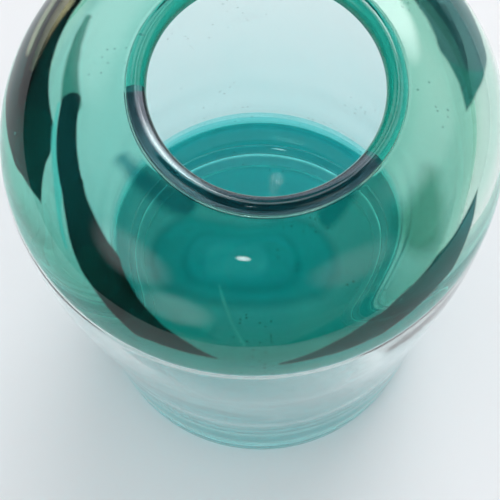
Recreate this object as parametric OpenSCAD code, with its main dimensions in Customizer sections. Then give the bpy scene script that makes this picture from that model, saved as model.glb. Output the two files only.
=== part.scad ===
// Hand blown vase with an in-turned shoulder, blown and joined hot from separate gathers of glass.
// The lip, shoulder, body, base, foot ring and pontil disc meet face to face, as they do when fused.
// +Z is up, and the origin is on the resting plane under the axis. Millimetres.

/* [Overall] */
// Height from the table to the top of the lip
height = 228; // [220:1:280]
// Diameter at the widest ring, where the shoulder meets the body
bulb_d = 180; // [150:1:220]
// Height of the widest ring
bulb_z = 188; // [150:1:192]
// Clear diameter of the mouth
mouth_d = 79; // [50:1:100]
// Outer diameter of the foot
foot_d = 140; // [110:1:165]

/* [Glass] */
// Thickness of the blown wall
wall = 4.5; // [3:0.1:7]
// The most that the shoulder is thicker than the wall, just above the widest ring
shoulder_swell = 2.8; // [0:0.1:4]
// Thickness of the rolled lip
lip_t = 7.5; // [6.5:0.1:10]
// How far the lip stands above the shoulder's highest point
lip_proud = 2.2; // [1.5:0.1:2.5]
// How far the wall draws in halfway up, against an even taper
waist = 2.5; // [0:0.1:6]

/* [Base] */
// Height where the body wall meets the base
base_z = 50; // [44:1:60]
// Radius of the hollow between the wall and the floor
heel_r = 14; // [8:1:16]
// How far the floor rises at the middle
floor_rise = 4; // [0:0.1:6]
// How far the underside is pushed up at the middle
kick = 10; // [0:0.1:12]
// Height of the foot ring
foot_h = 3.5; // [3:0.1:6]
// Width of the foot ring
foot_w = 9; // [6:0.1:14]
// Diameter of the pontil disc
pontil_d = 34; // [20:1:50]
// Thickness of the pontil disc
pontil_t = 3; // [2:0.1:4]

/* [Hidden] */
$fn = 96;

bulb_r = bulb_d / 2;
foot_r = foot_d / 2;
lip_mid_r = mouth_d / 2 + lip_t / 2;
lip_mid_z = height - lip_t / 2;
dome_top = height - lip_proud;
lip_cut = 3;                // how far outside the lip's centre the shoulder ends
lip_turn = 40;              // the bead's arc stops this many degrees short of level on each side
floor_z = base_z - heel_r;
pontil_z = foot_h + kick;
foot_round = 1.4;           // rounding of the foot ring where it rests
shoulder_steps = 24;
body_steps = 28;
heel_steps = 10;
lip_steps = 28;

function mix(a, b, t) = a + (b - a) * t;
function smooth(u) = u * u * (3 - 2 * u);

// Outer radius of the body: half sine, half smooth step, drawn in a little at the waist
function body_r(z) = let (u = z / bulb_z)
    mix(foot_r, bulb_r, (sin(90 * u) + smooth(u)) / 2) - waist * pow(sin(180 * u), 2);

// A point of the shoulder's elliptical arc: side is 0 on the outside face and 1 on the inside
function swell(a) = shoulder_swell * sin(180 * pow(1 - a / 90, 2));
function dome_point(a, side) = let (inset = side * (wall + swell(a)))
    [lip_mid_r + (bulb_r - inset - lip_mid_r) * cos(a), bulb_z + (dome_top - inset - bulb_z) * sin(a)];
function dome_end(side) = acos(lip_cut / (bulb_r - side * wall - lip_mid_r));
function dome_arc(side) = [for (i = [0:shoulder_steps]) dome_point(dome_end(side) * i / shoulder_steps, side)];
function wall_line(z0, z1, steps, inset) =
    [for (i = [0:steps]) let (z = mix(z0, z1, i / steps)) [body_r(z) - inset, z]];
function reversed(list) = [for (i = [len(list) - 1:-1:0]) list[i]];

// Rolled, fire-polished bead round the mouth
module lip() color([0.05, 0.45, 0.38, 0.6])
    rotate_extrude()
        polygon(concat(
            [dome_point(dome_end(0), 0)],
            [for (i = [0:lip_steps]) let (a = mix(lip_turn, 360 - lip_turn, i / lip_steps))
                [lip_mid_r + lip_t / 2 * cos(a), lip_mid_z + lip_t / 2 * sin(a)]],
            [dome_point(dome_end(1), 1)]));

// Green dome that turns in from the widest ring to the lip
module shoulder() color([0.08, 0.62, 0.5, 0.6])
    rotate_extrude()
        polygon(concat(dome_arc(0), reversed(dome_arc(1))));

// Pale wall that tapers from the widest ring down to the base
module body() color([0.55, 0.83, 0.82, 0.6])
    rotate_extrude()
        polygon(concat(
            wall_line(base_z, bulb_z, body_steps, 0),
            reversed(wall_line(base_z, bulb_z, body_steps, wall))));

// Thick pad of glass that closes the bottom: a hollow heel, a floor that rises to the middle,
// and an underside pushed up to the pontil disc
module base() color([0.1, 0.55, 0.53, 0.7]) {
    floor_r = body_r(base_z) - wall - heel_r;
    pontil_r = pontil_d / 2;
    rim_r = body_r(foot_h) - foot_w;
    rotate_extrude()
        polygon(concat(
            [[0, pontil_z + pontil_t], [pontil_r, pontil_z + pontil_t]],
            [for (i = [0:heel_steps]) let (u = i / heel_steps)
                [mix(pontil_r, rim_r, u), foot_h + kick * (1 - smooth(u))]],
            wall_line(foot_h, base_z, heel_steps, 0),
            [for (i = [0:heel_steps]) let (a = 90 * i / heel_steps)
                [floor_r + heel_r * cos(a), base_z - heel_r * sin(a)]],
            [for (i = [heel_steps - 1:-1:0]) let (u = i / heel_steps)
                [floor_r * u, floor_z + floor_rise * (1 - smooth(u))]]));
}

// Ring of glass laid on under the base, on which the vase stands
module foot_ring() color([0.68, 0.83, 0.83, 0.7])
    rotate_extrude()
        polygon(concat(
            [[body_r(foot_h) - foot_w, foot_h], [body_r(foot_h), foot_h]],
            [for (i = [0:heel_steps]) let (a = -90 * i / heel_steps)
                [foot_r - foot_round + foot_round * cos(a), foot_round + foot_round * sin(a)]],
            [for (i = [0:heel_steps]) let (a = 270 - 90 * i / heel_steps)
                [foot_r - foot_w + foot_round + foot_round * cos(a), foot_round + foot_round * sin(a)]]));

// Disc left where the iron held the base, ground flush with the top of the pushed up underside
module pontil_disc() color([0.2, 0.62, 0.6, 0.7])
    translate([0, 0, pontil_z])
        cylinder(h = pontil_t, d = pontil_d);

lip();
shoulder();
body();
base();
foot_ring();
pontil_disc();
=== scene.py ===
import bpy
import math
import numpy as np
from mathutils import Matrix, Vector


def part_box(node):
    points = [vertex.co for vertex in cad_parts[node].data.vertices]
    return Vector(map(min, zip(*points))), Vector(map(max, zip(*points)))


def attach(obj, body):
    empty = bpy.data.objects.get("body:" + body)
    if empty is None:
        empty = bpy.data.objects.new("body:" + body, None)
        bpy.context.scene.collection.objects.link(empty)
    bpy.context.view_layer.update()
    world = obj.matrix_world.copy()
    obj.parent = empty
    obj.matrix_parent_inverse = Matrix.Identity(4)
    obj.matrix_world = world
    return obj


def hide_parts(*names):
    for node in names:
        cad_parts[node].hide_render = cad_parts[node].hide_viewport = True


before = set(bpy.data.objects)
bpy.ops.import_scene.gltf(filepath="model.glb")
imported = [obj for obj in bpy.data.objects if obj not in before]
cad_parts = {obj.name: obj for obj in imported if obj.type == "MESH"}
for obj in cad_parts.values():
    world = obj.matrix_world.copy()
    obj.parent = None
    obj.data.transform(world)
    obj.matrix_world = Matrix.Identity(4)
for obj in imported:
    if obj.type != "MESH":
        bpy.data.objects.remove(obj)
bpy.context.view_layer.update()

print("frame loaded")

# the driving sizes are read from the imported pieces, in metres
lipLow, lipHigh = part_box("lip")
shoulderLow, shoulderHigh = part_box("shoulder")
baseLow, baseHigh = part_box("base")
footLow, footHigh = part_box("foot_ring")
pontilLow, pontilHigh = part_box("pontil_disc")

vase = {
    "height": lipHigh.z,
    "bulbR": shoulderHigh.y,
    "bulbZ": shoulderLow.z,
    "lipT": lipHigh.z - lipLow.z,      # thickness of the bead
    "lipMidR": lipHigh.y - 0.003,      # the shoulder ends 3 mm outside the middle of the bead
    "lipCut": 0.003,
    "domeTop": lipHigh.z - 0.0022,     # the lip stands proud of the shoulder
    "wall": 0.0045,
    "shoulderSwell": 0.0028,           # the most that the shoulder is thicker than the wall
    "waist": 0.0025,
    "footR": 0.070,
    "footH": footHigh.z,
    "footW": 0.009,
    "footRound": 0.0014,
    "baseZ": baseHigh.z,
    "heelR": 0.014,
    "floorRise": 0.004,
    "kick": pontilLow.z - footHigh.z,
    "pontilR": pontilHigh.y,
    "pontilT": pontilHigh.z - pontilLow.z,
    "around": 192,
}

# how far the blowing left the vase from true
handWork = {
    "footAside": 0.0020,     # the foot, the widest ring and the lip aren't quite in line
    "bulbAside": -0.0018,
    "lipAside": 0.0028,
    "oval": 0.980,           # width of the widest ring from side to side, against front to back
    "wander": 0.0003,        # slow change in the thickness of the wall
    "ripple": 0.00012,       # half the depth of the rings left round the body
    "ripplePitch": 0.0210,
    "rippleFrom": 0.004,     # the rings lie between these heights, and on the outside only
    "rippleTo": 0.110,
    "dimple": 0.0018,        # hollow left in the middle of the floor
    "dimpleR": 0.0055,
}


def mix(a, b, t):
    return a + (b - a) * t


def smooth(u):
    u = np.clip(u, 0, 1)
    return u * u * (3 - 2 * u)


def bodyR(z):
    u = z / vase["bulbZ"]
    swell = (np.sin(u * math.pi / 2) + smooth(u)) / 2
    return mix(vase["footR"], vase["bulbR"], swell) - vase["waist"] * np.sin(math.pi * u) ** 2


def domeArc(inside, steps):
    # an elliptical arc from the widest ring to the lip; the inside leaves the shoulder thickest near the ring
    inset = vase["wall"] * inside
    reachR = vase["bulbR"] - inset - vase["lipMidR"]
    reachZ = vase["domeTop"] - inset - vase["bulbZ"]
    a = np.linspace(0, math.acos(vase["lipCut"] / reachR), steps + 1)
    swell = vase["shoulderSwell"] * inside * np.sin(math.pi * (1 - 2 * a / math.pi) ** 2)
    return np.column_stack([vase["lipMidR"] + (reachR - swell) * np.cos(a),
                            vase["bulbZ"] + (reachZ - swell) * np.sin(a)])


def wallLine(z0, z1, inset, steps):
    z = np.linspace(z0, z1, steps + 1)
    return np.column_stack([bodyR(z) - inset, z])


def lipArc(steps):
    # from the shoulder's outer edge, round the bead, to its inner edge
    a = np.radians(np.linspace(40, 320, steps + 1))
    half = vase["lipT"] / 2
    bead = np.column_stack([vase["lipMidR"] + half * np.cos(a), vase["height"] - half + half * np.sin(a)])
    return np.vstack([domeArc(0, 48)[-1:], bead, domeArc(1, 48)[-1:]])


def heelArc(steps):
    a = np.linspace(0, math.pi / 2, steps + 1)
    floorR = bodyR(vase["baseZ"]) - vase["wall"] - vase["heelR"]
    return np.column_stack([floorR + vase["heelR"] * np.cos(a), vase["baseZ"] - vase["heelR"] * np.sin(a)])


def floorLine(steps):
    floorR = bodyR(vase["baseZ"]) - vase["wall"] - vase["heelR"]
    u = np.linspace(1, 0, steps + 1)
    z = vase["baseZ"] - vase["heelR"] + vase["floorRise"] * (1 - smooth(u))
    z = z - handWork["dimple"] * np.exp(-(floorR * u / handWork["dimpleR"]) ** 2)
    return np.column_stack([floorR * u, z])


def kickLine(steps):
    # underside of the base, from the pontil disc out to the foot ring
    r = np.linspace(vase["pontilR"], bodyR(vase["footH"]) - vase["footW"], steps + 1)
    u = (r - r[0]) / (r[-1] - r[0])
    return np.column_stack([r, vase["footH"] + vase["kick"] * (1 - smooth(u))])


def footLine(steps):
    r = vase["footRound"]
    low = np.linspace(math.pi, math.pi * 1.5, steps + 1)
    high = np.linspace(-math.pi / 2, 0, steps + 1)
    inner = np.column_stack([vase["footR"] - vase["footW"] + r + r * np.cos(low), r + r * np.sin(low)])
    outer = np.column_stack([vase["footR"] - r + r * np.cos(high), r + r * np.sin(high)])
    return np.vstack([[[bodyR(vase["footH"]) - vase["footW"], vase["footH"]]], inner, outer,
                      [[bodyR(vase["footH"]), vase["footH"]]]])


def discLine(steps):
    r = np.linspace(0, vase["pontilR"], steps + 1)
    return np.column_stack([r, np.full(steps + 1, vase["footH"] + vase["kick"])])


def shaped(line):
    # turns the outline round the axis and gives it the unevenness of hand work
    t = np.linspace(0, 2 * math.pi, vase["around"], endpoint=False)[None, :]
    r = line[:, 0][:, None]
    z = line[:, 1][:, None]
    inside = line[:, 2][:, None]
    up = z / vase["height"]
    below = smooth(z / vase["bulbZ"])
    above = smooth((z - vase["bulbZ"]) / (vase["height"] - vase["bulbZ"]))
    aside = np.where(z < vase["bulbZ"], mix(handWork["footAside"], handWork["bulbAside"], below),
                     mix(handWork["bulbAside"], handWork["lipAside"], above))
    oval = mix(1, handWork["oval"], np.where(z < vase["bulbZ"], below, 1 - above))
    slow = (0.5 * np.sin(2 * t + 9 * up + 0.7) + 0.3 * np.sin(3 * t - 14 * up + 2.1)
            + 0.2 * np.sin(5 * t + 23 * up))
    wander = handWork["wander"] * slow * smooth(r / 0.02) * inside
    ring = (handWork["ripple"] * (np.sin(2 * math.pi * z / handWork["ripplePitch"]) - 1)
            * smooth((z - handWork["rippleFrom"]) / 0.010) * smooth((handWork["rippleTo"] - z) / 0.07)
            * smooth((r - 0.060) / 0.004) * (1 - inside))
    radius = r + wander + ring
    x = radius * np.cos(t) * oval + aside
    y = radius * np.sin(t)
    return np.stack([x, y, np.broadcast_to(z, x.shape)], axis=-1)


def withNormals(grid):
    along = np.gradient(grid, axis=0)
    around = np.roll(grid, -1, axis=1) - np.roll(grid, 1, axis=1)
    normal = np.cross(around, along)
    length = np.linalg.norm(normal, axis=-1, keepdims=True)
    return np.where(length > 1e-12, normal / np.maximum(length, 1e-12), [0, 0, 1])


# one unbroken skin, from under the foot up the outside, over the lip and down to the middle of the floor;
# each piece takes its own stretch of it, so that neighbours meet without a crease
skinParts = [
    ("foot_ring", footLine(8), 0),
    ("base", wallLine(vase["footH"], vase["baseZ"], 0, 14), 0),
    ("body", wallLine(vase["baseZ"], vase["bulbZ"], 0, 90), 0),
    ("shoulder", domeArc(0, 48), 0),
    ("lip", lipArc(40), 0.5),
    ("shoulder", domeArc(1, 48)[::-1], 1),
    ("body", wallLine(vase["baseZ"], vase["bulbZ"], vase["wall"], 90)[::-1], 1),
    ("base", np.vstack([heelArc(16), floorLine(48)[1:]]), 1),
]
underParts = [
    ("pontil_disc", discLine(6), 0),
    ("base", kickLine(24), 0),
]


def layOut(parts):
    rows = []
    spans = []
    for name, points, inside in parts:
        points = np.column_stack([points, np.full(len(points), inside)])
        start = len(rows)
        if rows:
            start = len(rows) - 1      # the piece starts on its neighbour's last ring
            points = points[1:]
        rows.extend(points)
        spans.append((name, start, len(rows)))
    rows = np.array(rows)
    grid = shaped(rows)
    return grid, withNormals(grid), spans, rows[:, 2]


skin = layOut(skinParts)
under = layOut(underParts)
print("skin laid out,", skin[0].shape[0], "rings")


def stretches(name):
    # the piece's own rings, in order round its cross-section; the seams lie between the stretches
    found = []
    for grid, normals, spans, inside in (skin, under):
        for owner, start, end in spans:
            if owner == name:
                found.append((grid[start:end], normals[start:end], inside[end - 1]))
    return found


def ringAt(r, z):
    return shaped(np.array([[r, z, 0.0]]))


def buildPiece(name, parts, glass, seam):
    n = vase["around"]
    points = []
    rings = []          # index of each ring's first vertex, and how many it has
    ringNormals = []
    fused = []          # for each ring, whether the step to the next one is a seam
    inner = []
    for grid, normals, inside in parts:
        for i in range(len(grid)):
            pole = np.ptp(grid[i], axis=0).max() < 1e-7
            rings.append((len(points), 1 if pole else n))
            points.extend(grid[i][:1] if pole else grid[i])
            inner.extend([inside] * rings[-1][1])
            ringNormals.append(normals[i] if normals is not None else None)
            fused.append(normals is None or i == len(grid) - 1)
    faces = []
    slots = []
    corners = []
    count = len(rings)
    for i in range(count):
        k = (i + 1) % count
        (a, na), (b, nb) = rings[i], rings[k]
        if na == 1 and nb == 1:
            continue
        for j in range(n):
            m = (j + 1) % n
            if na == 1:
                face = (a, b + m, b + j)
                around = (None, m, j)
                steps = (i, k, k)
            elif nb == 1:
                face = (a + j, a + m, b)
                around = (j, m, None)
                steps = (i, i, k)
            else:
                face = (a + j, a + m, b + m, b + j)
                around = (j, m, m, j)
                steps = (i, i, k, k)
            faces.append(face)
            slots.append(1 if fused[i] else 0)
            corners.append((steps, around))
    mesh = bpy.data.meshes.new(name)
    mesh.from_pydata([tuple(p) for p in points], [], faces)
    mesh.materials.append(glass)
    mesh.materials.append(seam)
    mesh.polygons.foreach_set("material_index", slots)
    mesh.polygons.foreach_set("use_smooth", [True] * len(faces))
    mesh.attributes.new("inner", "FLOAT", "POINT").data.foreach_set("value", inner)
    mesh.update()
    loopNormals = []
    for face, (steps, around) in zip(mesh.polygons, corners):
        flat = tuple(face.normal)
        for ring, j in zip(steps, around):
            if face.material_index == 1:
                loopNormals.append(flat)
            elif j is None:
                loopNormals.append(tuple(np.sign(flat[2]) * np.array([0, 0, 1])))
            else:
                loopNormals.append(tuple(ringNormals[ring][j]))
    mesh.normals_split_custom_set(loopNormals)
    piece = bpy.data.objects.new(name + "_glass", mesh)
    bpy.context.scene.collection.objects.link(piece)
    return piece


def newGroup(name, inputs, outputs):
    group = bpy.data.node_groups.new(name, "ShaderNodeTree")
    for label, kind, value in inputs:
        socket = group.interface.new_socket(label, in_out="INPUT", socket_type="NodeSocket" + kind)
        socket.default_value = value
    for label, kind in outputs:
        group.interface.new_socket(label, in_out="OUTPUT", socket_type="NodeSocket" + kind)
    return group, group.nodes.new("NodeGroupInput").outputs, group.nodes.new("NodeGroupOutput").inputs


def join(tree, node, values):
    # values are numbers, colours or other nodes' outputs, by socket
    for key, value in dict(values).items():
        if isinstance(value, bpy.types.NodeSocket):
            tree.links.new(value, node.inputs[key])
        else:
            node.inputs[key].default_value = value


def place(tree, kind, values=(), **settings):
    node = tree.nodes.new("ShaderNode" + kind)
    for key, value in settings.items():
        setattr(node, key, value)
    join(tree, node, values)
    return node


def calc(tree, operation, a, b=0.0, c=0.0):
    return place(tree, "Math", {0: a, 1: b, 2: c}, operation=operation).outputs[0]


def blend(tree, factor, a, b):
    node = place(tree, "Mix", {0: factor, 6: a, 7: b}, data_type="RGBA")
    return node.outputs[2]


def fade(tree, value, start, end):
    # 0 at the start, 1 at the end
    return place(tree, "MapRange", {"Value": value, "From Min": start, "From Max": end},
                 interpolation_type="SMOOTHSTEP").outputs["Result"]


def noise(tree, at, scale, detail, distortion=0.0):
    return place(tree, "TexNoise", {"Vector": at, "Scale": scale, "Detail": detail,
                                    "Distortion": distortion}).outputs["Fac"]


def fill(tree, group, values):
    # places a node group and fills its inputs
    node = tree.nodes.new("ShaderNodeGroup")
    node.node_tree = group
    join(tree, node, values)
    return node.outputs


skinScale = {"round": 75.0, "up": 42.4}     # millimetres to a radian, round the shoulder and up it


def skinPlaceGroup():
    # where a point lies on the vase: millimetres round and up the shoulder, and its radius and height
    group, given, out = newGroup("skinPlace", [("Aside", "Float", 0.0)],
                                 [("Place", "Vector"), ("Radius", "Float"), ("Height", "Float")])
    split = place(group, "SeparateXYZ", {0: place(group, "TexCoord").outputs["Object"]}).outputs
    x = calc(group, "SUBTRACT", split["X"], given["Aside"])
    radius = calc(group, "SQRT", calc(group, "ADD", calc(group, "MULTIPLY", x, x),
                                      calc(group, "MULTIPLY", split["Y"], split["Y"])))
    around = calc(group, "ARCTAN2", x, calc(group, "MULTIPLY", split["Y"], -1.0))
    reachZ = vase["domeTop"] - vase["bulbZ"]
    reachR = vase["bulbR"] - vase["lipMidR"]
    upShare = calc(group, "DIVIDE", calc(group, "SUBTRACT", split["Z"], vase["bulbZ"]), reachZ)
    outShare = calc(group, "DIVIDE", calc(group, "SUBTRACT", radius, vase["lipMidR"]), reachR)
    climb = calc(group, "ARCTAN2", upShare, outShare)
    spread = place(group, "CombineXYZ", {0: calc(group, "MULTIPLY", around, skinScale["round"]),
                                         1: calc(group, "MULTIPLY", climb, skinScale["up"])})
    group.links.new(spread.outputs[0], out["Place"])
    group.links.new(radius, out["Radius"])
    group.links.new(split["Z"], out["Height"])
    return group


def trailGroup():
    # a tapering trail between two places, with a slightly wandering edge; it masks the painted shade and
    # painted reflections on the shoulder
    group, given, out = newGroup(
        "lightShadeTrail",
        [("Place", "Vector", (0, 0, 0)), ("From", "Vector", (0, 0, 0)), ("To", "Vector", (1, 0, 0)),
         ("From Width", "Float", 1.0), ("To Width", "Float", 1.0), ("Softness", "Float", 1.0)],
        [("Mask", "Float")])

    def vector(operation, a, b):
        return place(group, "VectorMath", {0: a, 1: b}, operation=operation).outputs

    along = vector("SUBTRACT", given["To"], given["From"])["Vector"]
    reach = vector("SUBTRACT", given["Place"], given["From"])["Vector"]
    share = calc(group, "DIVIDE", vector("DOT_PRODUCT", reach, along)["Value"],
                 vector("DOT_PRODUCT", along, along)["Value"])
    held = place(group, "Clamp", {"Value": share}).outputs[0]
    nearest = place(group, "VectorMath", {0: along, 3: held}, operation="SCALE").outputs["Vector"]
    away = vector("DISTANCE", reach, nearest)["Value"]
    wander = calc(group, "MULTIPLY_ADD", noise(group, given["Place"], 0.06, 1.0), 1.6, -0.8)      # mm
    widening = calc(group, "SUBTRACT", given["To Width"], given["From Width"])
    width = calc(group, "MULTIPLY_ADD", held, widening, given["From Width"])
    edge = calc(group, "ADD", away, wander)
    mask = fade(group, edge, calc(group, "ADD", width, given["Softness"]),
                calc(group, "SUBTRACT", width, given["Softness"]))
    group.links.new(mask, out["Mask"])
    return group


def driftGroup():
    # slow cloudy change and fine drawn-out cords in the colour of hot-worked glass
    group, given, out = newGroup(
        "colourDrift",
        [("Colour", "Color", (1, 1, 1, 1)), ("Amount", "Float", 0.1), ("Cords", "Float", 0.1)],
        [("Colour", "Color")])
    at = place(group, "TexCoord").outputs["Object"]
    cloud = noise(group, at, 16.0, 3.0, 1.2)
    drawn = place(group, "Mapping", {"Vector": at, "Scale": (26, 26, 150)}).outputs["Vector"]
    cord = noise(group, drawn, 1.0, 4.0, 0.6)
    clouding = calc(group, "MULTIPLY", calc(group, "SUBTRACT", cloud, 0.5), given["Amount"])
    cording = calc(group, "MULTIPLY", calc(group, "SUBTRACT", cord, 0.5), given["Cords"])
    power = calc(group, "ADD", clouding, cording)
    split = place(group, "SeparateColor", {0: given["Colour"]}).outputs
    strength = calc(group, "ADD", power, 1.0)
    raised = [calc(group, "POWER", split[i], strength) for i in range(3)]
    joined = place(group, "CombineColor", {0: raised[0], 1: raised[1], 2: raised[2]})
    group.links.new(joined.outputs[0], out["Colour"])
    return group


def seedsGroup():
    # small gas bubbles: dark rims seen from outside, scattered in clusters
    group, given, out = newGroup("seeds", [("Scale", "Float", 500.0), ("Share", "Float", 0.1)],
                                 [("Mask", "Float")])
    at = place(group, "TexCoord").outputs["Object"]
    cells = place(group, "TexVoronoi", {"Vector": at, "Scale": given["Scale"]})
    spot = fade(group, cells.outputs["Distance"], 0.30, 0.16)
    pick = place(group, "SeparateColor", {0: cells.outputs["Color"]}).outputs[0]
    patch = noise(group, at, 22.0, 1.0)
    share = calc(group, "MULTIPLY", given["Share"], fade(group, patch, 0.52, 0.66))
    group.links.new(calc(group, "MULTIPLY", spot, calc(group, "LESS_THAN", pick, share)), out["Mask"])
    return group


def surfaceGroup():
    # height of the faint waves that blowing and turning leave on the surface
    group, given, out = newGroup("blownSurface", [("Fine", "Float", 0.3)], [("Height", "Float")])
    at = place(group, "TexCoord").outputs["Object"]
    wide = noise(group, at, 28.0, 2.0)
    turned = place(group, "Mapping", {"Vector": at, "Scale": (14, 14, 170)}).outputs["Vector"]
    fine = noise(group, turned, 1.0, 2.0)
    group.links.new(calc(group, "MULTIPLY_ADD", fine, given["Fine"], wide), out["Height"])
    return group


skinPlace = skinPlaceGroup()
lightShadeTrail = trailGroup()
colourDrift = driftGroup()
seeds = seedsGroup()
blownSurface = surfaceGroup()

glassWork = {
    "ior": 1.5,
    "bubble": (0.02, 0.16, 0.15, 1),
    "bubbleShare": 0.55,
    "fineWaves": 0.06,                 # share of the turned waves in the slow ones
    "cast": (0.24, 0.92, 0.95, 1),     # light that reaches the table through the glass, in place of caustics
}


def glassBase(name):
    material = bpy.data.materials.new(name)
    material.use_nodes = True
    shader = material.node_tree.nodes["Principled BSDF"]
    shader.inputs["Roughness"].default_value = 0.0
    shader.inputs["IOR"].default_value = glassWork["ior"]
    shader.inputs["Transmission Weight"].default_value = 1.0
    return material, material.node_tree, shader


def finishGlass(tree, shader, colour, look):
    drift = fill(tree, colourDrift, {"Colour": colour, "Amount": look["drift"], "Cords": look["cords"]})
    bubbles = fill(tree, seeds, {"Share": look["seeds"]})
    bubbled = calc(tree, "MULTIPLY", bubbles["Mask"], glassWork["bubbleShare"])
    specked = blend(tree, bubbled, drift["Colour"], glassWork["bubble"])
    cast = calc(tree, "GREATER_THAN", place(tree, "LightPath").outputs["Diffuse Depth"], 0.5)
    tree.links.new(blend(tree, cast, specked, glassWork["cast"]), shader.inputs["Base Color"])
    height = fill(tree, blownSurface, {"Fine": glassWork["fineWaves"]})["Height"]
    bump = place(tree, "Bump", {"Height": height, "Strength": 1.0, "Distance": look["waves"]})
    tree.links.new(bump.outputs["Normal"], shader.inputs["Normal"])


shoulderLook = {
    "low": (0.10, 0.58, 0.42, 1),          # the green by the widest ring
    "high": (0.42, 0.82, 0.71, 1),         # and by the lip
    "highBelow": 0.006,
    "warm": (0.42, 0.74, 0.56, 1),         # yellower and thinner green on the right
    "warmShare": 0.6,
    "clear": (0.86, 0.95, 0.91, 1),        # the outer skin where it meets the body
    "greenFrom": 0.007,                    # how far above the ring the outer green starts
    "greenFull": 0.016,
    "greenLater": 0.009,                   # how much higher it starts on the right
    "drift": 0.35,
    "cords": 0.25,
    "seeds": 0.35,
    "waves": 0.00012,
}

# darker and lighter marks laid on the shoulder, later ones over earlier ones: painted shade and painted
# reflections of the studio as the glass shows it, and painted rings of the base seen through the front; each
# end is (degrees round from the front, degrees up from the widest ring, half width in mm)
paintedLightAndShade = [
    {"from": (-160, 35, 0.4), "to": (-128, 38, 13.5), "soft": 0.8, "colour": (0.00001, 0.0030, 0.0032)},
    {"from": (-128, 38, 14.0), "to": (-97, 37, 13.5), "soft": 0.7, "colour": (0.00001, 0.0022, 0.0024)},
    {"from": (-97, 37, 13.5), "to": (-79, 43, 11.5), "soft": 0.6, "colour": (0.00001, 0.0030, 0.0030)},
    {"from": (-79, 43, 11.5), "to": (-63, 38, 0.5), "soft": 0.6, "colour": (0.00001, 0.0045, 0.0040)},
    {"from": (-146, 42, 0.2), "to": (-119, 48, 3.0), "soft": 1.6, "colour": (0.34, 0.30, 0.13)},
    {"from": (-119, 48, 3.0), "to": (-100, 43, 0.6), "soft": 1.6, "colour": (0.50, 0.40, 0.16)},
    {"from": (-140, 33, 0.2), "to": (-106, 36, 2.0), "soft": 1.8, "colour": (0.12, 0.14, 0.07)},
    {"from": (-116, 66, 1.2), "to": (-84, 68, 3.8), "soft": 0.9, "colour": (0.012, 0.13, 0.09)},
    {"from": (-86, 62, 0.6), "to": (-64, 52, 1.8), "soft": 0.8, "colour": (0.06, 0.72, 0.62)},
    {"from": (-64, 52, 1.8), "to": (-50, 36, 0.5), "soft": 0.8, "colour": (0.06, 0.72, 0.62)},
    {"from": (-86, 68, 3.6), "to": (-60, 57, 4.2), "soft": 0.5, "colour": (0.00003, 0.0040, 0.0045)},
    {"from": (-60, 57, 4.2), "to": (-40, 42, 8.0), "soft": 0.6, "colour": (0.00002, 0.0035, 0.0035)},
    {"from": (-40, 42, 8.0), "to": (-25, 27, 6.0), "soft": 0.7, "colour": (0.00002, 0.0055, 0.0045)},
    {"from": (-25, 27, 6.0), "to": (-8, 20, 0.5), "soft": 0.8, "colour": (0.0001, 0.012, 0.010)},
    {"from": (66, 40, 0.4), "to": (48, 31, 5.6), "soft": 0.6, "colour": (0.0003, 0.028, 0.028)},
    {"from": (48, 31, 5.6), "to": (28, 24, 5.2), "soft": 0.7, "colour": (0.0003, 0.026, 0.026)},
    {"from": (28, 24, 5.2), "to": (6, 17, 0.6), "soft": 0.8, "colour": (0.0006, 0.045, 0.042)},
    {"from": (46.5, 57, 0.4), "to": (46, 51, 3.0), "soft": 1.8, "colour": (0.001, 0.05, 0.035)},
    {"from": (62, 63, 2.5), "to": (48, 53, 8.5), "soft": 4.0, "colour": (0.07, 0.30, 0.19)},
    {"from": (84, 56, 0.4), "to": (104, 52, 10.0), "soft": 0.7, "colour": (0.004, 0.075, 0.060)},
    {"from": (104, 52, 10.0), "to": (130, 48, 13.0), "soft": 0.7, "colour": (0.012, 0.065, 0.065)},
    {"from": (130, 48, 13.0), "to": (162, 42, 0.4), "soft": 0.8, "colour": (0.014, 0.075, 0.070)},
    {"from": (-58, 82, 2.6), "to": (-26, 85, 4.2), "soft": 2.4, "colour": (0.03, 0.22, 0.23)},
    # painted rings of the base, as they show through the front of the shoulder
    {"from": (-21, 65, 12.6), "to": (15, 66, 12.6), "soft": 2.4, "colour": (0.012, 0.46, 0.42)},
    {"from": (-20, 66, 11.2), "to": (14, 67, 11.2), "soft": 1.6, "colour": (0.05, 0.62, 0.56)},
    {"from": (-15, 66, 8.4), "to": (8, 67, 8.4), "soft": 1.5, "colour": (0.015, 0.50, 0.48)},
    {"from": (-14, 67, 7.0), "to": (7, 68, 7.0), "soft": 1.4, "colour": (0.07, 0.68, 0.64)},
    {"from": (-11, 67, 4.6), "to": (1, 68, 4.6), "soft": 1.8, "colour": (0.20, 0.86, 0.82)},
    {"from": (26, 79, 3.0), "to": (44, 83, 1.0), "soft": 1.6, "colour": (0.006, 0.34, 0.31)},
    {"from": (-9, 57, 0.25), "to": (-2, 30, 0.45), "soft": 0.6, "colour": (0.80, 0.94, 0.72)},
]


def layPaintedLightAndShade(tree, skin, spot):
    # lays the painted shade and painted reflections over the skin's colour
    for trail in paintedLightAndShade:
        ends = {}
        for end, label in (("from", "From"), ("to", "To")):
            around, climb, width = trail[end]
            ends[label] = (math.radians(around) * skinScale["round"],
                           math.radians(climb) * skinScale["up"], 0)
            ends[label + " Width"] = width
        mask = fill(tree, lightShadeTrail, {"Place": spot["Place"], "Softness": trail["soft"], **ends})["Mask"]
        skin = blend(tree, mask, skin, (*trail["colour"], 1))
    return skin


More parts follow.
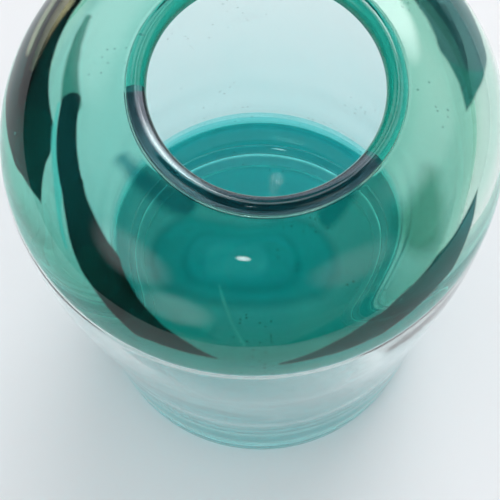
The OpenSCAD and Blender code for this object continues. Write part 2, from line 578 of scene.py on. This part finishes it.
def shoulderGlass():
    # the green is laid inside; the outer skin carries the painted shade and painted reflections
    look = shoulderLook
    material, tree, shader = glassBase("shoulderGreen")
    spot = fill(tree, skinPlace, {"Aside": handWork["bulbAside"]})
    inner = place(tree, "Attribute", attribute_name="inner").outputs["Fac"]
    climb = fade(tree, spot["Height"], vase["bulbZ"], vase["domeTop"] - look["highBelow"])
    green = blend(tree, climb, look["low"], look["high"])
    reach = place(tree, "SeparateXYZ", {0: spot["Place"]}).outputs["X"]
    around = calc(tree, "DIVIDE", reach, skinScale["round"])
    warm = fade(tree, calc(tree, "SINE", around), 0.1, 0.95)
    green = blend(tree, warm, green, blend(tree, look["warmShare"], green, look["warm"]))
    laid = calc(tree, "MULTIPLY_ADD", warm, -look["greenLater"], spot["Height"])
    start = fade(tree, laid, vase["bulbZ"] + look["greenFrom"], vase["bulbZ"] + look["greenFull"])
    # painted shade and painted reflections of the studio over the outer skin's colour
    skin = layPaintedLightAndShade(tree, blend(tree, start, look["clear"], green), spot)
    finishGlass(tree, shader, blend(tree, inner, skin, green), look)
    return material


# distances across the bead are in metres from its middle, outwards
lipLook = {
    "low": (0.012, 0.36, 0.27, 1),
    "high": (0.15, 0.70, 0.57, 1),
    "edge": (0.004, 0.20, 0.15, 1),        # painted dark line that refraction shows round the mouth
    "paintedShadeLeft": -88,                       # where the painted dark reflection of the studio starts and ends, in degrees from the front
    "paintedShadeRight": 53,
    "paintedShadeBlur": 0.3,
    # painted dark reflection of the studio on the near side: its inner half and its outer half
    "paintedShadeIn": (0.24, 0.22, 0.26, 1),
    "paintedShadeOut": (0.012, 0.045, 0.055, 1),
    # painted dark line of refraction across the painted dark reflection
    "paintedDarkLine": (0.002, 0.004, 0.005, 1),
    "paintedHighlight": (0.95, 0.93, 0.96, 1),       # painted highlight of a softbox on the left of the painted dark reflection
    # painted bright line of refraction at the mouth's edge
    "paintedBrightLine": (0.45, 0.85, 0.78, 1),
    "drift": 0.25,
    "cords": 0.15,
    "seeds": 0.05,
    "waves": 0.00006,
}


def lipGlass():
    # the bead is emerald; on the near side a painted dark reflection of the studio lies over it and ends
    # sharply, with a painted highlight on its left; painted dark and bright lines of refraction run round the
    # mouth
    look = lipLook
    material, tree, shader = glassBase("lipGreen")
    spot = fill(tree, skinPlace, {"Aside": handWork["lipAside"]})
    across = calc(tree, "SUBTRACT", spot["Radius"], vase["lipMidR"])
    emerald = blend(tree, fade(tree, across, -0.0005, 0.003), look["low"], look["high"])
    # painted dark line of refraction round the mouth
    emerald = blend(tree, fade(tree, across, -0.0032, -0.0018), look["edge"], emerald)
    around = place(tree, "SeparateXYZ", {0: spot["Place"]}).outputs["X"]
    left = math.radians(look["paintedShadeLeft"]) * skinScale["round"]
    right = math.radians(look["paintedShadeRight"]) * skinScale["round"]
    blur = look["paintedShadeBlur"]
    # painted dark reflection of the studio on the near side of the bead, ending sharply at both ends
    paintedShadeMask = calc(tree, "MULTIPLY", fade(tree, around, left - blur, left + blur),
                fade(tree, around, right + blur, right - blur))
    paintedShade = blend(tree, fade(tree, across, -0.0002, 0.0006), look["paintedShadeIn"], look["paintedShadeOut"])
    # painted dark line of refraction
    paintedShade = blend(tree, fade(tree, across, -0.0026, -0.0021), look["paintedDarkLine"], paintedShade)
    # painted highlight on the left of the painted dark reflection
    highlightEnds = calc(tree, "MULTIPLY", fade(tree, around, -100.0, -78.0), fade(tree, around, -24.0, -52.0))
    highlightSides = calc(tree, "MULTIPLY", fade(tree, across, -0.0021, -0.0015),
                       fade(tree, across, 0.0002, -0.0006))
    paintedShade = blend(tree, calc(tree, "MULTIPLY", highlightEnds, highlightSides), paintedShade, look["paintedHighlight"])
    # painted bright line of refraction at the mouth's edge
    paintedShade = blend(tree, fade(tree, across, -0.0034, -0.0031), look["paintedBrightLine"], paintedShade)
    finishGlass(tree, shader, blend(tree, paintedShadeMask, emerald, paintedShade), look)
    return material


bodyLook = {
    "low": (0.70, 0.95, 0.95, 1),
    "high": (0.86, 0.97, 0.96, 1),
    "drift": 0.4,
    "cords": 0.2,
    "seeds": 0.10,
    "waves": 0.00010,
}


def bodyGlass():
    look = bodyLook
    material, tree, shader = glassBase("bodyAqua")
    height = fill(tree, skinPlace, {})["Height"]
    colour = blend(tree, fade(tree, height, vase["baseZ"], vase["bulbZ"]), look["low"], look["high"])
    finishGlass(tree, shader, colour, look)
    return material


baseLook = {
    "deep": (0.07, 0.74, 0.72, 1),         # the pad, which darkens as it thickens below the heel
    "rim": (0.20, 0.76, 0.76, 1),
    "deepAbove": 0.004,                    # the full depth is reached this far above the floor's edge
    "rimFrom": 0.011,                      # in from the foot's edge
    "rimTo": 0.003,
    "satin": 0.16,                         # roughness of the underside
    "drift": 0.35,
    "cords": 0.3,
    "seeds": 0.12,
    "waves": 0.00020,
}


def baseGlass():
    look = baseLook
    material, tree, shader = glassBase("baseTeal")
    spot = fill(tree, skinPlace, {})
    inner = place(tree, "Attribute", attribute_name="inner").outputs["Fac"]
    climb = fade(tree, spot["Height"], vase["baseZ"] - vase["heelR"] + look["deepAbove"], vase["baseZ"])
    out = fade(tree, spot["Radius"], vase["footR"] - look["rimFrom"], vase["footR"] - look["rimTo"])
    floorTint = blend(tree, climb, look["deep"], look["rim"])
    sideTint = blend(tree, out, look["deep"], look["rim"])
    finishGlass(tree, shader, blend(tree, inner, sideTint, floorTint), look)
    top = vase["footH"] + vase["kick"]
    below = fade(tree, spot["Height"], top + 0.002, top + 0.0005)
    within = fade(tree, spot["Radius"], vase["footR"] - 0.003, vase["footR"] - 0.007)
    under = calc(tree, "MULTIPLY", below, within)
    tree.links.new(calc(tree, "MULTIPLY", under, look["satin"]), shader.inputs["Roughness"])
    return material


footLook = {
    "low": (0.72, 0.95, 0.95, 1),
    "high": (0.86, 0.97, 0.97, 1),
    "wornLeast": 0.2,                      # roughness where it is rubbed, and how much more in patches
    "wornMore": 0.5,
    "wornScale": 160.0,
    "drift": 0.4,
    "cords": 0.2,
    "seeds": 0.05,
    "waves": 0.00012,
}


def footGlass():
    # clear ring, rubbed satin where it rests
    look = footLook
    material, tree, shader = glassBase("footClear")
    spot = fill(tree, skinPlace, {})
    colour = blend(tree, fade(tree, spot["Height"], 0.0, vase["footH"]), look["low"], look["high"])
    finishGlass(tree, shader, colour, look)
    patches = noise(tree, place(tree, "TexCoord").outputs["Object"], look["wornScale"], 5.0)
    worn = calc(tree, "MULTIPLY_ADD", patches, look["wornMore"], look["wornLeast"])
    resting = fade(tree, spot["Height"], 0.0012, 0.0)
    within = fade(tree, spot["Radius"], vase["footR"] - 0.003, vase["footR"] - 0.006)
    rub = calc(tree, "MAXIMUM", resting, within)
    tree.links.new(calc(tree, "MULTIPLY", rub, worn), shader.inputs["Roughness"])
    return material


pontilLook = {
    "middle": (0.30, 0.72, 0.70, 1),
    "edge": (0.22, 0.68, 0.66, 1),
    "scratches": 0.16,                     # roughness of the deepest scratches of the wheel
    "scratchScale": 700.0,
    "drift": 0.3,
    "cords": 0.1,
    "seeds": 0.15,
    "waves": 0.00020,
}


def pontilGlass():
    # ground flat
    look = pontilLook
    material, tree, shader = glassBase("pontilTeal")
    radius = fill(tree, skinPlace, {})["Radius"]
    colour = blend(tree, fade(tree, radius, 0.0, vase["pontilR"]), look["middle"], look["edge"])
    finishGlass(tree, shader, colour, look)
    scratched = noise(tree, place(tree, "TexCoord").outputs["Object"], look["scratchScale"], 3.0)
    tree.links.new(calc(tree, "MULTIPLY", scratched, look["scratches"]), shader.inputs["Roughness"])
    return material


def seamMaterial():
    # inside the glass, where two fused pieces meet, nothing is seen
    material = bpy.data.materials.new("fusedSeam")
    material.use_nodes = True
    nodes = material.node_tree.nodes
    nodes.clear()
    clear = nodes.new("ShaderNodeBsdfTransparent")
    out = nodes.new("ShaderNodeOutputMaterial")
    material.node_tree.links.new(clear.outputs["BSDF"], out.inputs["Surface"])
    return material


finishes = {
    "lip": ("green_glass", lipGlass()),
    "shoulder": ("green_glass", shoulderGlass()),
    "body": ("aqua_glass", bodyGlass()),
    "base": ("teal_glass", baseGlass()),
    "foot_ring": ("foot_glass", footGlass()),
    "pontil_disc": ("teal_glass", pontilGlass()),
}
seamGlass = seamMaterial()
recessZ = vase["footH"] + vase["kick"] + vase["pontilT"]
recess = np.vstack([ringAt(0.0, recessZ), ringAt(vase["pontilR"], recessZ)])
for name, (slotName, glass) in finishes.items():
    parts = stretches(name)
    if name == "base":
        outer, floor, below = parts
        parts = [outer, floor, (recess, None, 0), below]
    if name == "pontil_disc":
        parts = parts + [(recess[::-1], None, 0)]
    piece = buildPiece(name, parts, glass, seamGlass)
    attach(piece, "root")
    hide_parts(name)
print("pieces made")

studio = {
    "floorSize": 6.0,
    "floorColour": (0.86, 0.86, 0.87, 1),
    "floorRough": 0.45,
    "gap": 0.0008,       # the table lies this far under the foot; in one plane with it, the base turns black
    "skyColour": (0.985, 0.982, 1.0, 1),
    "sky": 1.15,         # what stands behind the table
    "fill": 0.76,        # share of the sky that lights the table from all round
    "lamp": ((0.30, 0.85, 0.85), 6, 26, 3.8),     # the way to it, inner and outer angle, strength in skies
    "room": 0.05,        # what the glass mirrors between the softboxes
    "through": 0.70,     # what is seen through the glass, past the table
    "softboxes": [       # the way to each, inner and outer angle, strength
        ((0.22, 0.63, 0.74), 6, 12, 9.0),
        ((0.02, 0.45, 0.89), 4, 10, 2.5),
        ((-0.08, -0.26, 0.96), 0.6, 2.2, 12.0),
        ((-0.44, 0.63, 0.63), 6, 20, 1.6),
        ((-0.66, -0.42, 0.62), 4, 17, 1.6),
        ((-0.47, -0.80, 0.36), 4, 15, 1.6),
        ((0.51, 0.30, 0.81), 5, 20, 1.6),
        ((0.42, -0.46, 0.78), 3, 16, 1.0),
    ],
}

floorMesh = bpy.data.meshes.new("floor")
reach = studio["floorSize"] / 2
floorMesh.from_pydata([(-reach, -reach, 0), (reach, -reach, 0), (reach, reach, 0), (-reach, reach, 0)],
                      [], [(0, 1, 2, 3)])
floor = bpy.data.objects.new("floor", floorMesh)
floor.location.z = -studio["gap"]
bpy.context.scene.collection.objects.link(floor)
floorPaint = bpy.data.materials.new("floorPaint")
floorPaint.use_nodes = True
floorShader = floorPaint.node_tree.nodes["Principled BSDF"]
floorShader.inputs["Base Color"].default_value = studio["floorColour"]
floorShader.inputs["Roughness"].default_value = studio["floorRough"]
floorMesh.materials.append(floorPaint)

world = bpy.data.worlds.new("studio")
bpy.context.scene.world = world
world.use_nodes = True
sky = world.node_tree
direction = place(sky, "TexCoord").outputs["Generated"]


def towards(way, near, far):
    # 1 looking the given way, falling to 0 away from it; near and far are angles in degrees
    length = math.sqrt(sum(v * v for v in way))
    dot = place(sky, "VectorMath", {0: direction, 1: [v / length for v in way]}, operation="DOT_PRODUCT")
    return fade(sky, dot.outputs["Value"], math.cos(math.radians(far)), math.cos(math.radians(near)))


def lightness(start, lamps, unit=1.0):
    total = start
    for way, near, far, strength in lamps:
        total = calc(sky, "MULTIPLY_ADD", towards(way, near, far), strength * unit, total)
    return total


# the world answers differently for the table's light, the glass's mirror images and what shows through
path = place(sky, "LightPath").outputs
plain = lightness(studio["sky"] * studio["fill"], [studio["lamp"]], studio["sky"])
mirrored = lightness(studio["room"], studio["softboxes"])
mirrorGain = calc(sky, "SUBTRACT", mirrored, studio["through"])
seen = calc(sky, "MULTIPLY_ADD", path["Is Reflection Ray"], mirrorGain, studio["through"])
lighting = calc(sky, "GREATER_THAN", path["Diffuse Depth"], 0.5)
level = calc(sky, "MULTIPLY_ADD", lighting, calc(sky, "SUBTRACT", plain, seen), seen)
level = calc(sky, "MULTIPLY_ADD", path["Is Camera Ray"], calc(sky, "SUBTRACT", studio["sky"], level), level)
backdrop = sky.nodes["Background"]
sky.links.new(level, backdrop.inputs["Strength"])
backdrop.inputs["Color"].default_value = studio["skyColour"]

view = {
    "place": (-0.00275, -0.232, 0.699),
    "down": 69.82,        # degrees below level
    "lens": 115.2,
    "sensor": 36.0,
    "bounces": 24,        # light crosses many walls of glass
    "mirrorBounces": 16,
}
camera = bpy.data.cameras.new("camera")
camera.lens = view["lens"]
camera.sensor_width = view["sensor"]
eye = bpy.data.objects.new("camera", camera)
bpy.context.scene.collection.objects.link(eye)
eye.location = view["place"]
eye.rotation_euler = (math.radians(90 - view["down"]), 0, 0)
bpy.context.scene.camera = eye
bpy.context.scene.view_settings.view_transform = "Standard"
bpy.context.scene.cycles.max_bounces = view["bounces"]
bpy.context.scene.cycles.transmission_bounces = view["bounces"]
bpy.context.scene.cycles.glossy_bounces = view["mirrorBounces"]
